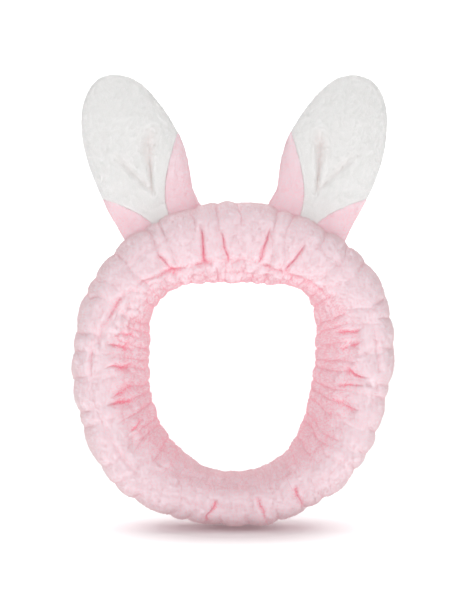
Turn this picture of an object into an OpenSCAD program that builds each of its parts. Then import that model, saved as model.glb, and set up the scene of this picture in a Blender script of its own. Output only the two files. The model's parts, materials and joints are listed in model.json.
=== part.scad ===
// Plush make-up headband with a pair of animal ears.
//
// A closed loop of gathered coral fleece with an elastic strip sewn into it, and two
// stuffed fleece ears that stand on its crest and flop forwards and backwards.
//
// Frame: the origin is the middle of the head opening, +Y runs along the opening from
// front to back, +Z is up. Left and right are the wearer's, so the left ear is at +X.

/* [Band] */
// Outer diameter of the gathered loop, left lying relaxed
band_outer_d = 194; // [180:1:205]
// Width of the loop from its front edge to its back edge
band_width = 64; // [60:1:72]
// Rounding of the loop's two outer shoulders
shoulder_r = 16; // [10:1:20]
// How far the loop's outside sits above the middle of the opening
band_rise = 7; // [4:0.5:8]

/* [Head opening] */
// Relaxed diameter of the opening, between the gathers
opening_d = 110; // [104:1:114]
// Width of the straight part of the opening's wall, over the elastic
grip_width = 30; // [26:1:34]

/* [Elastic] */
// Width of the elastic strip
elastic_width = 28; // [20:1:29]
// Thickness of the elastic strip
elastic_t = 1.2; // [0.8:0.1:1.5]
// Fleece between the elastic and the head
inner_layer = 3.3; // [2.5:0.1:4]
// Half of the angle over which the elastic's two ends overlap
lap_half_angle = 7; // [5:1:9]
// Where the overlap is, measured from the top of the loop
lap_at = 205; // [190:1:215]

/* [Ears] */
// Where each ear stands, measured from the top of the loop
ear_at = 27; // [24:1:34]
// Length of an ear from its fold line to its tip
ear_len = 83.5; // [70:0.5:95]
// Distance from an ear's middle line to its outer edge
ear_outer_half = 26; // [22:0.5:28]
// How much further the inner edge bulges than the outer edge
ear_bulge = 8.5; // [4:0.5:10]
// Half of the ear's thickness where it folds
ear_root_r = 8; // [7:0.1:9]
// Extra half thickness that the stuffing gives the middle of the ear
ear_plump = 3.5; // [2:0.1:5]
// Angle by which the ear leans inwards from the loop's radius
ear_tilt = 5; // [0:1:10]
// How far the middle of the ear bows outwards
ear_bow = 3; // [0:0.5:5]
// Thickness of the fleece that the ears are sewn from
fleece_t = 2.4; // [1.6:0.1:3]
// Depth of the pleat pressed into the front of each ear
pleat_depth = 4; // [2:0.5:5]

/* [Thread] */
// Diameter of the sewing thread, drawn as a bold bead
thread_d = 0.8; // [0.6:0.1:1]
// Room left between soft pieces
gap = 0.3; // [0.2:0.05:0.35]

/* [Hidden] */

pink = "#f6ccd8";
deep_pink = "#f2b3c6";
white = "#ece9e6";
thread_pink = "#eda3ba";
cream = "#f4f0e8";

$fn = 96;

band_outer_r = band_outer_d / 2;
half_width = band_width / 2;
opening_r = opening_d / 2;
half_grip = grip_width / 2;
flare_r = half_width - half_grip;         // rounding from the grip out to each edge
groove_d = thread_d + 2 * gap;            // a crease that a line of stitches lies in

elastic_r = opening_r + inner_layer;      // inside of the elastic
lap_r = elastic_r + elastic_t;            // where its overlapping end lies
lap_stitch_d = thread_d / 2;
lap_stitch_len = elastic_width - 4;
lap_stitches = 7;
lap_step = 0.6;                           // the overlapping end is this much narrower
channel_width = elastic_width + 2 * gap;  // the channel that the elastic runs in
lap_pocket_t = 2 * elastic_t + lap_stitch_d + 4 * gap;
lap_pocket_angle = 2 * lap_half_angle + 3;

thread_seat = 0.4;                        // how deep the thread lies in its crease
casing_y = half_grip + 2.5;               // the two lines of stitches beside the elastic
casing_inner_r = opening_r + flare_r - sqrt(pow(flare_r, 2) - pow(casing_y - half_grip, 2));
tube_seam_r = opening_r + flare_r + 5;    // the long seam, on the back face
end_seam_at = 155;                        // the seam that closes the loop, from the top
end_seam_t = thread_d;

ear_hinge_r = band_outer_r + ear_root_r + gap;   // fold line, from the outside's centre
bulge_at = 0.42;                          // where along the ear the bulge is full
tip_power = 3.2;                          // how blunt the tip is

ear_rows = 18;                            // rows of points from the fold line to the tip
root_rows = [-0.95, -0.75, -0.5, -0.25];  // rows round the rolled root, as parts of its radius
EAR_STATIONS = concat(root_rows, [for (i = [0 : ear_rows - 1]) sin(90 * i / ear_rows)]);
panel_columns = 24;
filling_columns = 36;
seam_sides = 6;
seam_room = thread_d / 2 + gap;           // room from the middle of the seam's thread to a panel
panel_step = 2 * seam_room;               // how far the front panel stands off the back one
step_ease = 1.5;                          // it comes forward slowly at first
max_parting = 12;                         // widest angle that a seam opens, near the tip
filling_inset = fleece_t + 5 * gap;
filling_press = 1.15;                     // the stuffing is dented deeper than the fleece

white_root = 0.2;                         // half width of the white panel at the root
white_full_outer = 0.22;                  // where it reaches the ear's outer edge
white_full_inner = 0.42;                  // where it reaches the ear's inner edge
white_start = -0.1;                       // where it starts to widen

pleat_low = 0.02;                         // the pleat's lower and upper ends along the ear
pleat_high = 0.62;
pleat_spread = 13;                        // angle over which it fades out sideways

tack_at = 0.1;                            // the pleat's tack, as a part of the ear's length
tack_len = 7;
tack_lift = 0.8;                          // how far it bridges the pleat's floor

base_stitches = 6;                        // stitches along each side of an ear's root
base_stitch_len = 5;
base_row_y = ear_root_r + 2;

// ---- Shapes of the band -------------------------------------------------------------

// Turns a solid made round Z so that it runs round the opening's axis.
module around_opening() { rotate([90, 0, 0]) children(); }

// Half of the loop's outside, shrunk by inset.
module outside_profile(inset) {
    core_r = band_outer_r - shoulder_r;
    translate([0, -half_width + inset]) square([core_r, band_width - 2 * inset]);
    translate([0, -half_width + shoulder_r])
        square([band_outer_r - inset, band_width - 2 * shoulder_r]);
    for (side = [-1, 1])
        translate([core_r, side * (half_width - shoulder_r)]) circle(r = shoulder_r - inset);
}

// Half of the opening, grown by inset: a straight grip that flares out to both edges.
module opening_profile(inset) {
    flare_centre_r = opening_r + flare_r;
    difference() {
        translate([0, -half_width - 1]) square([flare_centre_r, band_width + 2]);
        for (side = [-1, 1])
            translate([flare_centre_r, side * half_grip]) circle(r = flare_r - inset);
        translate([opening_r + inset, -half_grip]) square([flare_r + 1, grip_width]);
    }
}

// The whole gathered loop as one soft form, shrunk by inset all over.
module band_form(inset) {
    difference() {
        translate([0, 0, band_rise])
            around_opening() rotate_extrude() outside_profile(inset);
        around_opening() rotate_extrude() opening_profile(inset);
    }
}

// A ring of thread, or of the crease it lies in, about the opening's axis.
module thread_ring(r, y, d) {
    translate([0, y, 0]) around_opening()
        rotate_extrude() translate([r, 0]) circle(d = d, $fn = 24);
}

// The same on the loop's outside, which has its own centre.
module outer_thread_ring(y, d) { translate([0, 0, band_rise]) thread_ring(band_outer_r, y, d); }

// A flat strip bent round the opening, over an angle that starts at the lap's own start.
module elastic_strip(r, t, width, angle) {
    around_opening() rotate([0, 0, 90 - lap_at - angle / 2])
        rotate_extrude(angle = angle) translate([r, -width / 2]) square([t, width]);
}

// A thin slab across the loop where its two ends meet.
module across_end_seam(t) {
    rotate([0, end_seam_at, 0]) translate([-t / 2, -band_width, 0])
        cube([t, 2 * band_width, band_outer_d]);
}

// The two lines of one row of casing stitches, on the grip side and on the outside.
module casing_rings(y, d) {
    thread_ring(casing_inner_r + thread_seat * (groove_d - d), y, d);
    outer_thread_ring(y, d);
}

// The creases that all the lines of stitches lie in.
module stitch_creases() {
    for (side = [-1, 1]) casing_rings(side * casing_y, groove_d);
    thread_ring(tube_seam_r, half_width, groove_d);
}

// ---- Shapes of an ear ---------------------------------------------------------------
// An ear lies in its own frame: x along the fold line towards the ear's outer edge, z along
// the loop's radius, y from front to back, with the fold line at z = 0. A station s runs
// from 0 at the fold line to 1 at the tip, and from 0 down to -1 round the rolled root.
// The angle a goes round a cross section: 0 is the outer edge, 90 the middle of the front.

function tip_cap(s) = s <= 0 ? 1 : sqrt(1 - pow(min(s, 1), tip_power));

function edge_half(s, a) =
    cos(a) >= 0 ? ear_outer_half
                : ear_outer_half + ear_bulge * sin(90 * min(1, max(0, s) / bulge_at));

function ear_middle(s, inset) =
    s < 0 ? [0, 0, s * (ear_root_r - inset)]
          : let (len = (ear_len - inset) * s, bow = 4 * ear_bow * s * (1 - s))
            [bow * cos(ear_tilt) - len * sin(ear_tilt), 0, len * cos(ear_tilt) + bow * sin(ear_tilt)];

function half_thick(s, inset) =
    s < 0 ? (ear_root_r - inset) * sqrt(1 - s * s)
          : (ear_root_r + ear_plump * sin(180 * pow(s, 0.8)) - inset) * tip_cap(s);

// Depth of the pleat at station s and angle a, on the front face.
function pleat(s, a) =
    s <= pleat_low || s >= pleat_high ? 0
    : pleat_depth * sin(180 * (s - pleat_low) / (pleat_high - pleat_low))
      * exp(-pow((a - 90) / pleat_spread, 2));

function ear_point(s, a, inset, press = 1) =
    let (turn = ear_tilt * max(0, s),
         across = (edge_half(s, a) - inset) * cos(a) * tip_cap(s),
         middle = ear_middle(s, inset))
    [middle[0] + across * cos(turn),
     -half_thick(s, inset) * sin(a) + (a > 0 && a < 180 ? press * pleat(s, a) : 0),
     middle[2] + across * sin(turn)];

// Angle of the seam between white and pink: at the edge high up, round on the front lower down.
function height_at(s) = s < 0 ? s * ear_root_r / ear_len : s;
function seam_angle(s, full) =
    s >= full ? 0
    : acos(white_root + (1 - white_root) * (height_at(s) - white_start) / (full - white_start));
function outer_seam(s) = seam_angle(s, white_full_outer);
function inner_seam(s) = 180 - seam_angle(s, white_full_inner);

// The angle that a given arc takes up at a point of the cross section.
function arc_angle(s, a, arc) =
    let (speed = norm([half_thick(s, 0) * cos(a), edge_half(s, a) * sin(a)]))
    min(max_parting, 180 / PI * arc / max(speed, 1));

// Each panel keeps clear of the seam's thread: they part sideways where the seam runs over
// the front face, and higher up, where it runs along the edge, the front panel stands forward.
function step_forward(s) = panel_step * pow(min(1, max(0, s) / white_full_outer), step_ease);
function parting(s, full, a) = s < full ? arc_angle(s, a, seam_room) : 0;
function front_from(s) = outer_seam(s) + parting(s, white_full_outer, outer_seam(s));
function front_to(s) = inner_seam(s) - parting(s, white_full_inner, inner_seam(s));
function back_from(s) = inner_seam(s) + parting(s, white_full_inner, inner_seam(s));
function back_to(s) = 360 + outer_seam(s) - parting(s, white_full_outer, outer_seam(s));

// Triangles over a grid of rows by columns whose first point has the number base.
function grid_faces(rows, columns, base, flip) = [
    for (i = [0 : rows - 2], j = [0 : columns - 2])
        let (p = base + i * columns + j, q = p + columns)
        each flip ? [[p, p + 1, q + 1], [p, q + 1, q]] : [[p, q + 1, p + 1], [p, q, q + 1]]];

function fan_faces(rows, columns, base, pole, flip) = [
    for (j = [0 : columns - 2])
        let (p = base + (rows - 1) * columns + j)
        flip ? [p, p + 1, pole] : [p, pole, p + 1]];

// Triangles that join edge a to edge b, two lists of point numbers of one length.
function strip_faces(a, b) = [
    for (i = [0 : len(a) - 2]) each [[a[i], a[i + 1], b[i + 1]], [a[i], b[i + 1], b[i]]]];

// A fleece panel: an outer and an inner skin over the same stations, closed at its edges.
// It runs between the angles from(s) and to(s), and forward is 1 for the front panel.
module ear_panel(from, to, forward) {
    rows = len(EAR_STATIONS);
    columns = panel_columns;
    count = rows * columns;
    function placed(s, a, inset) = ear_point(s, a, inset) - [0, forward * step_forward(s), 0];
    function skin(inset) = [
        for (s = EAR_STATIONS, j = [0 : columns - 1])
            let (start = from(s), a = start + (to(s) - start) * j / (columns - 1))
            placed(s, a, inset)];
    function pole(inset) = placed(1, 0, inset);
    outer_pole = 2 * count;
    inner_pole = outer_pole + 1;
    function edge(base, j, pole) = concat([for (i = [0 : rows - 1]) base + i * columns + j], [pole]);
    function hem(base) = [for (j = [0 : columns - 1]) base + j];
    polyhedron(
        points = concat(skin(0), skin(fleece_t), [pole(0), pole(fleece_t)]),
        faces = concat(
            grid_faces(rows, columns, 0, true),
            fan_faces(rows, columns, 0, outer_pole, true),
            grid_faces(rows, columns, count, false),
            fan_faces(rows, columns, count, inner_pole, false),
            strip_faces(edge(0, 0, outer_pole), edge(count, 0, inner_pole)),
            strip_faces(edge(count, columns - 1, inner_pole), edge(0, columns - 1, outer_pole)),
            strip_faces(hem(count), hem(0))),
        convexity = 6);
}

// The stuffing: one closed form inside both panels.
module ear_stuffing() {
    rows = len(EAR_STATIONS);
    skin = [for (s = EAR_STATIONS, j = [0 : filling_columns - 1])
                ear_point(s, 360 * j / filling_columns, filling_inset, filling_press)];
    function at(i, j) = i * filling_columns + j % filling_columns;
    polyhedron(
        points = concat(skin, [ear_point(1, 0, filling_inset)]),
        faces = concat(
            [for (i = [0 : rows - 2], j = [0 : filling_columns - 1])
                each [[at(i, j), at(i, j + 1), at(i + 1, j + 1)],
                      [at(i, j), at(i + 1, j + 1), at(i + 1, j)]]],
            [for (j = [0 : filling_columns - 1])
                [at(rows - 1, j), at(rows - 1, j + 1), rows * filling_columns]],
            [[for (j = [filling_columns - 1 : -1 : 0]) at(0, j)]]),
        convexity = 6);
}

// The seam's thread: a round bead swept up one edge, over the tip and down the other.
module ear_seam_bead() {
    function seam_point(s, a) = ear_point(s, a, fleece_t / 2) - [0, step_forward(s) / 2, 0];
    up = [for (s = EAR_STATIONS) seam_point(s, outer_seam(s))];
    down = [for (i = [len(EAR_STATIONS) - 1 : -1 : 0])
                seam_point(EAR_STATIONS[i], inner_seam(EAR_STATIONS[i]))];
    path = concat(up, [seam_point(1, 0)], down);
    last = len(path) - 1;
    function along(i) = let (d = path[min(i + 1, last)] - path[max(i - 1, 0)]) d / norm(d);
    function side(i) = let (n = cross(along(i), [0, 1, 0])) n / norm(n);
    points = [for (i = [0 : last], k = [0 : seam_sides - 1])
                  let (n = side(i), b = cross(n, along(i)), turn = 360 * k / seam_sides)
                  path[i] + thread_d / 2 * (n * cos(turn) + b * sin(turn))];
    function at(i, k) = i * seam_sides + k % seam_sides;
    polyhedron(
        points = points,
        faces = concat(
            [for (i = [0 : last - 1], k = [0 : seam_sides - 1])
                each [[at(i, k), at(i + 1, k), at(i + 1, k + 1)],
                      [at(i, k), at(i + 1, k + 1), at(i, k + 1)]]],
            [[for (k = [0 : seam_sides - 1]) at(0, k)]],
            [[for (k = [seam_sides - 1 : -1 : 0]) at(last, k)]]),
        convexity = 6);
}

// Puts an ear's own frame on the loop, on the left or mirrored to the right.
module on_loop(left) {
    mirror([left ? 0 : 1, 0, 0])
        translate([0, 0, band_rise]) rotate([0, ear_at, 0]) translate([0, 0, ear_hinge_r])
            children();
}

// ---- Pieces of the band -------------------------------------------------------------

module band_cover() {
    color(pink) difference() {
        band_form(0);
        elastic_strip(elastic_r - gap, elastic_t + 2 * gap, channel_width, 360);
        elastic_strip(elastic_r, lap_pocket_t, channel_width, lap_pocket_angle);
        stitch_creases();
        intersection() {
            across_end_seam(end_seam_t + 2 * gap);
            difference() {
                band_form(-1);
                band_form(end_seam_t + gap);
            }
        }
    }
}

module elastic_band() {
    color(cream) {
        elastic_strip(elastic_r, elastic_t, elastic_width, 360);
        elastic_strip(elastic_r + elastic_t / 2, 1.5 * elastic_t, elastic_width - lap_step,
                      2 * lap_half_angle);
    }
}

module elastic_lap_stitches() {
    r = lap_r + elastic_t + gap + lap_stitch_d / 2;
    step = 2 * (lap_half_angle - 1) / (lap_stitches - 1);
    color(white)
        for (i = [0 : lap_stitches - 1])
            rotate([0, lap_at + step * (i - (lap_stitches - 1) / 2), 0]) translate([0, 0, r])
                rotate([90, 0, 0]) cylinder(h = lap_stitch_len, d = lap_stitch_d, center = true);
}

module casing_stitch_front() { color(thread_pink) casing_rings(-casing_y, thread_d); }

module casing_stitch_back() { color(thread_pink) casing_rings(casing_y, thread_d); }

module tube_seam() { color(thread_pink) thread_ring(tube_seam_r, half_width, thread_d); }

module end_seam() {
    color(thread_pink) intersection() {
        across_end_seam(end_seam_t);
        difference() {
            band_form(0);
            band_form(end_seam_t);
            stitch_creases();
        }
    }
}

// ---- Pieces of an ear ---------------------------------------------------------------

module ear_back(left) {
    color(pink) on_loop(left)
        ear_panel(function (s) back_from(s), function (s) back_to(s), 0);
}

module ear_front(left) {
    color(white) on_loop(left)
        ear_panel(function (s) front_from(s), function (s) front_to(s), 1);
}

module ear_filling(left) { color(cream) on_loop(left) ear_stuffing(); }

module edge_seam(left) { color(deep_pink) on_loop(left) ear_seam_bead(); }

module pleat_tack(left) {
    here = ear_point(tack_at, 90, 0);
    proud = step_forward(tack_at) + tack_lift + thread_d / 2;
    color(white) on_loop(left)
        translate(here - [0, proud, 0]) rotate([0, 90, 0])
            cylinder(h = tack_len, d = thread_d, center = true, $fn = 24);
}

module ear_base_stitches(left) {
    pitch = 2 * ear_outer_half / base_stitches;
    spread = asin(pitch / (band_outer_r + thread_d));
    color(thread_pink) mirror([left ? 0 : 1, 0, 0]) translate([0, 0, band_rise])
        for (i = [0 : base_stitches - 1], side = [-1, 1])
            rotate([0, ear_at + spread * (i - (base_stitches - 1) / 2), 0])
                translate([0, side * base_row_y, band_outer_r + thread_d / 2 + gap / 2])
                    rotate([0, 90, 0])
                        cylinder(h = base_stitch_len, d = thread_d, center = true, $fn = 24);
}

band_cover();
elastic_band();
elastic_lap_stitches();
casing_stitch_front();
casing_stitch_back();
tube_seam();
end_seam();
ear_back(true);  // left_ear_back
ear_front(true);  // left_ear_front
ear_filling(true);  // left_ear_filling
edge_seam(true);  // left_edge_seam
pleat_tack(true);  // left_pleat_tack
ear_base_stitches(true);  // left_base_stitches
ear_back(false);  // right_ear_back
ear_front(false);  // right_ear_front
ear_filling(false);  // right_ear_filling
edge_seam(false);  // right_edge_seam
pleat_tack(false);  // right_pleat_tack
ear_base_stitches(false);  // right_base_stitches
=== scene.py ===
"""Dresses the plush animal ears headband in fleece, stuffing, seams and thread, round its fixed frame.

Everything is in metres in the frame's own axes: the origin is the middle of the head opening, +Y runs
through it from front to back and +Z is up. Left and right are the wearer's, so the left ear is at +X.
"""

import json
import logging
import math
from dataclasses import dataclass, field
from enum import Enum
from typing import Any

import bpy
import numpy as np
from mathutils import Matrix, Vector

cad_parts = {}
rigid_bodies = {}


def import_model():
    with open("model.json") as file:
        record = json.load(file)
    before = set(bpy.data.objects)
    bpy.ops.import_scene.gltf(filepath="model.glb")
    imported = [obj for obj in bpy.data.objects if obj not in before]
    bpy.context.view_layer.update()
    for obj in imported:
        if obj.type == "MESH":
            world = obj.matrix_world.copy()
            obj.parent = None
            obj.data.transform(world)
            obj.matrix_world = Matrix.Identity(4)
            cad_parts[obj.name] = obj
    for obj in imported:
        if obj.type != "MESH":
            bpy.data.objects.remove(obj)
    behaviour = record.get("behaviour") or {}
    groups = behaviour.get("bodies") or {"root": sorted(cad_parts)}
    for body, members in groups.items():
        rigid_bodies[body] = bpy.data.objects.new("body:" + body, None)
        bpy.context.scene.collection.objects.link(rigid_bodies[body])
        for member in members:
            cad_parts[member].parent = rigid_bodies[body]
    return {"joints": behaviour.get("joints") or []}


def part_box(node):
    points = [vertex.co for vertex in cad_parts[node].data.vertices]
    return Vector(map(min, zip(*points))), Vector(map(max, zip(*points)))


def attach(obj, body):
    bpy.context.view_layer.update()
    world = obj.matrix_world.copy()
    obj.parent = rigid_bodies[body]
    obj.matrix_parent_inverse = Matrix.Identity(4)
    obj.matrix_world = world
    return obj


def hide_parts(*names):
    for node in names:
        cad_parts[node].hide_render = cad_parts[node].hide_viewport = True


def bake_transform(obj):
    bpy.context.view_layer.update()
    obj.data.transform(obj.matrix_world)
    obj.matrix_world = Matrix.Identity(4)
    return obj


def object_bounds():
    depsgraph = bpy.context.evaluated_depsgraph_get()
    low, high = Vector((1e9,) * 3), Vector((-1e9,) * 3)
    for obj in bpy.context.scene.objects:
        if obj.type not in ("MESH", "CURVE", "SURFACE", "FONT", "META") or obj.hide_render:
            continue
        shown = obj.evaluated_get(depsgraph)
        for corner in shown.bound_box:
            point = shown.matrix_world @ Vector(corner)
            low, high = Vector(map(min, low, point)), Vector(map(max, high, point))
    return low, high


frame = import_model()
cad_box = [list(corner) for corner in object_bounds()]

LOG = logging.getLogger("headband")
MM = 0.001
Colour = tuple[float, float, float]


# ---- Small tools ----------------------------------------------------------------------------------


def select_only(piece: bpy.types.Object) -> None:
    """Makes one object the active and only selected one.

    Args:
        piece: The object that the next operators act on.
    """
    for other in bpy.context.scene.objects:
        other.select_set(False)
    piece.select_set(True)
    bpy.context.view_layer.objects.active = piece


def points_of(piece: bpy.types.Object) -> np.ndarray:
    """Reads a mesh's vertices.

    Args:
        piece: A mesh object at the origin.

    Returns:
        Its vertices as rows of x, y, z.
    """
    flat = np.zeros(len(piece.data.vertices) * 3)
    piece.data.vertices.foreach_get("co", flat)
    return flat.reshape(-1, 3)


def move_points(piece: bpy.types.Object, points: np.ndarray) -> None:
    """Puts a mesh's vertices where they are told.

    Args:
        piece: A mesh object at the origin.
        points: One row of x, y, z for each vertex.
    """
    piece.data.vertices.foreach_set("co", points.astype(np.float32).ravel())
    piece.data.update()


def normals_of(piece: bpy.types.Object) -> np.ndarray:
    """Reads a mesh's vertex normals as rows of x, y, z."""
    flat = np.zeros(len(piece.data.vertices) * 3, np.float32)
    piece.data.vertices.foreach_get("normal", flat)
    return flat.reshape(-1, 3).astype(float)


def store(piece: bpy.types.Object, name: str, values: np.ndarray) -> None:
    """Keeps a number for each vertex, for the materials to read.

    Args:
        piece: The mesh object.
        name: The attribute's name.
        values: One number for each vertex.
    """
    layer = piece.data.attributes.new(name, "FLOAT", "POINT")
    layer.data.foreach_set("value", values.astype(np.float32))


def mesh_piece(name: str, points: np.ndarray, faces: np.ndarray) -> bpy.types.Object:
    """Makes an object at the origin from points and equal-sided faces.

    Args:
        name: The piece's name.
        points: Rows of x, y, z.
        faces: Rows of point numbers, all of one length.

    Returns:
        The new object.
    """
    data = bpy.data.meshes.new(name)
    count, sides = faces.shape
    data.vertices.add(len(points))
    data.vertices.foreach_set("co", points.astype(np.float32).ravel())
    data.loops.add(count * sides)
    data.loops.foreach_set("vertex_index", faces.astype(np.int32).ravel())
    data.polygons.add(count)
    data.polygons.foreach_set("loop_start", np.arange(0, count * sides, sides, dtype=np.int32))
    data.update(calc_edges=True)
    piece = bpy.data.objects.new(name, data)
    bpy.context.scene.collection.objects.link(piece)
    return piece


def smooth(piece: bpy.types.Object) -> None:
    """Shades every face of a mesh smoothly."""
    piece.data.polygons.foreach_set("use_smooth", [True] * len(piece.data.polygons))
    piece.data.update()


def turn_outwards(piece: bpy.types.Object, closing: bool = False) -> None:
    """Turns a closed mesh's faces outwards.

    Args:
        piece: The mesh object.
        closing: True to remove stray points and close the open ends first.
    """
    select_only(piece)
    bpy.ops.object.mode_set(mode="EDIT")
    bpy.ops.mesh.select_all(action="SELECT")
    if closing:
        bpy.ops.mesh.delete_loose()
        bpy.ops.mesh.select_all(action="SELECT")
        bpy.ops.mesh.fill_holes(sides=0)
        bpy.ops.mesh.select_all(action="SELECT")
    bpy.ops.mesh.normals_make_consistent(inside=False)
    bpy.ops.object.mode_set(mode="OBJECT")


def smoothstep(low: float, high: float, value: np.ndarray) -> np.ndarray:
    """Rises smoothly from 0 at low to 1 at high, or falls if low is above high."""
    part = np.clip((value - low) / (high - low), 0, 1)
    return part * part * (3 - 2 * part)


def hash_of(cells: np.ndarray, seed: int) -> np.ndarray:
    """Gives each whole-numbered cell a fixed number from 0 to 1.

    Args:
        cells: Rows of three whole numbers.
        seed: Tells one pattern from another.

    Returns:
        One number for each row.
    """
    mixed = cells.astype(np.int64) @ np.array([73856093, 19349663, 83492791]) + seed * 2654435
    mixed = (mixed ^ (mixed >> 13)) * 1274126177 & 0xFFFFFFFF
    mixed = (mixed ^ (mixed >> 16)) * 668265263 & 0xFFFFFFFF
    return (mixed ^ (mixed >> 15)) % 65536 / 65536


def wandering(points: np.ndarray, size: float, seed: int) -> np.ndarray:
    """Smooth noise from -1 to 1.

    Args:
        points: Rows of x, y, z.
        size: Distance over which it changes, in metres.
        seed: Tells one pattern from another.

    Returns:
        One number for each row.
    """
    scaled = points / size
    base = np.floor(scaled)
    part = scaled - base
    part = part * part * (3 - 2 * part)
    total = np.zeros(len(points))
    for corner in np.ndindex(2, 2, 2):
        weight = np.prod(np.where(corner, part, 1 - part), axis=1)
        total += weight * hash_of(base + np.array(corner), seed)
    return 2 * total - 1


def tufts(points: np.ndarray, size: float, seed: int) -> np.ndarray:
    """Rounded bumps, 1 on top of each tuft and 0 in the clefts between them.

    Args:
        points: Rows of x, y, z.
        size: Distance between tufts, in metres.
        seed: Tells one pattern from another.

    Returns:
        One number for each row.
    """
    scaled = points / size
    base = np.floor(scaled)
    nearest = np.full(len(points), 4.0)
    for step in np.ndindex(3, 3, 3):
        cell = base + np.array(step) - 1
        centre = cell + np.stack([hash_of(cell, seed + axis) for axis in range(3)], axis=1)
        nearest = np.minimum(nearest, ((scaled - centre) ** 2).sum(axis=1))
    return np.clip(1 - nearest, 0, 1)


# ---- Shader tools ---------------------------------------------------------------------------------


class Value:
    """A shader value that can be written in Python arithmetic, which adds its Math nodes."""

    def __init__(self, graph: "Graph", socket: bpy.types.NodeSocket) -> None:
        """Wraps an output socket of a node in the graph."""
        self.graph = graph
        self.socket = socket

    def maths(self, operation: str, *others: Any) -> "Value":
        """Adds one Math node.

        Args:
            operation: The Math node's operation.
            *others: The other operands, as values or numbers.

        Returns:
            The node's result.
        """
        return self.graph.node("ShaderNodeMath", {"operation": operation},
                               dict(enumerate((self, *others))))

    def __add__(self, other: Any) -> "Value":
        """This plus other."""
        return self.maths("ADD", other)

    __radd__ = __add__

    def __mul__(self, other: Any) -> "Value":
        """This times other."""
        return self.maths("MULTIPLY", other)

    __rmul__ = __mul__

    def __sub__(self, other: Any) -> "Value":
        """This less other."""
        return self.maths("SUBTRACT", other)

    def __rsub__(self, other: Any) -> "Value":
        """Other less this."""
        return self * -1 + other

    def held(self) -> "Value":
        """This kept between 0 and 1."""
        return self.maths("MINIMUM", 1.0).maths("MAXIMUM", 0.0)


class Graph:
    """A material's node tree, with its Principled shader ready."""

    def __init__(self, name: str) -> None:
        """Starts a material whose only nodes are the shader and the output."""
        self.material = bpy.data.materials.new(name)
        self.material.use_nodes = True
        self.tree = self.material.node_tree
        self.shader = self.tree.nodes["Principled BSDF"]

    def node(self, kind: str, settings: dict, inputs: dict, output: Any = 0) -> Value:
        """Adds any node.

        Args:
            kind: The node's type.
            settings: Properties set first, such as a Math node's operation.
            inputs: Values or links by socket name or number.
            output: The socket whose value is wanted.

        Returns:
            That socket's value.
        """
        made = self.tree.nodes.new(kind)
        for key, value in settings.items():
            setattr(made, key, value)
        for key, value in inputs.items():
            self.feed(made.inputs[key], value)
        return Value(self, made.outputs[output])

    def feed(self, socket: bpy.types.NodeSocket, value: Any) -> None:
        """Links a value to a socket, or sets a constant on it."""
        if isinstance(value, Value):
            self.tree.links.new(value.socket, socket)
        else:
            socket.default_value = (*value, 1.0) if isinstance(value, tuple) and len(value) == 3 \
                and socket.type == "RGBA" else value

    def place(self) -> Value:
        """The point of the piece in its own axes."""
        return self.node("ShaderNodeTexCoord", {}, {}, "Object")

    def kept(self, name: str) -> Value:
        """A number kept on the mesh by store."""
        return self.node("ShaderNodeAttribute", {"attribute_name": name}, {}, "Fac")

    def noise(self, per_metre: float, detail: float = 2.0) -> Value:
        """Cloudy noise from 0 to 1, with so many clouds to the metre."""
        return self.node("ShaderNodeTexNoise", {},
                         {"Vector": self.place(), "Scale": per_metre, "Detail": detail}, 0)

    def cells(self, per_metre: float) -> Value:
        """Distance to the nearest of scattered points, with so many to the metre."""
        return self.node("ShaderNodeTexVoronoi", {},
                         {"Vector": self.place(), "Scale": per_metre}, "Distance")

    def blend(self, share: Value, low: Any, high: Any) -> Value:
        """A colour that goes from low to high as share goes from 0 to 1."""
        return self.node("ShaderNodeMix", {"data_type": "RGBA"}, {0: share, 6: low, 7: high}, 2)

    def relief(self, height: Value, depth: float, strength: float = 1.0) -> Value:
        """A bumped normal, for a height from 0 to 1 that stands for depth metres."""
        return self.node("ShaderNodeBump", {},
                         {"Height": height, "Distance": depth, "Strength": strength})

    def shade(self, **inputs: Any) -> bpy.types.Material:
        """Feeds the shader's sockets, named with underscores for spaces.

        Args:
            **inputs: Values or constants for the shader.

        Returns:
            The material.
        """
        for key, value in inputs.items():
            self.feed(self.shader.inputs[key.replace("_", " ")], value)
        return self.material


# ---- Finishes -------------------------------------------------------------------------------------


@dataclass(frozen=True)
class Fleece:
    """Short, soft plush fleece, with painted shade that deepens its colour down in its folds and a painted
    glow.

    Attributes:
        name: The finish's name.
        crest: Colour on top of the pile.
        depth: Painted shade colour down between the folds, also the colour of the painted glow there.
        glow: Strength of the painted glow, emitted light that stands in for light through the pile and
            lifts the shade in the folds.
        veil: How much of the crest's colour the painted glow gives on top of the pile, lifting its shade.
    """

    name: str
    crest: Colour
    depth: Colour
    glow: float = 0.0
    veil: float = 0.0

    def material(self) -> bpy.types.Material:
        """Builds the fleece's material, with painted shade and a painted glow in its folds, for a mesh
        that keeps its folds as fold.
        """
        graph = Graph(self.name)
        clouds = graph.noise(110.0)
        clumps = graph.cells(420.0)
        # Painted shade: the colour deepens to the depth colour where the fold mask is high and, a little,
        # in the clefts between clumps, with random tone from the clouds.
        share = (graph.kept("fold") + (clouds - 0.45) * 0.3 + (clumps - 0.4) * 0.08).held()
        fibre = graph.noise(2600.0, 1.0)
        # Painted glow: emission in the depth colour in the folds and a share of the crest colour on top,
        # lifting the shade.
        glow = self.depth if self.glow else (0.0, 0.0, 0.0)
        veil = tuple(self.veil * part for part in self.crest)
        return graph.shade(
            Base_Color=graph.blend(share, self.crest, self.depth),
            Roughness=graph.noise(300.0) * 0.12 + 0.86,
            Normal=graph.relief(fibre * 0.5 + (1 - clumps) * 0.5, 0.5 * MM, 0.22),
            Emission_Color=graph.blend(share, veil, glow), Emission_Strength=self.glow,
            Subsurface_Weight=0.7, Subsurface_Radius=(1.0, 0.6, 0.65), Subsurface_Scale=4 * MM,
            Sheen_Weight=0.25, Sheen_Roughness=0.7, Sheen_Tint=(1.0, 0.95, 0.96),
            Specular_IOR_Level=0.1)


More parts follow.
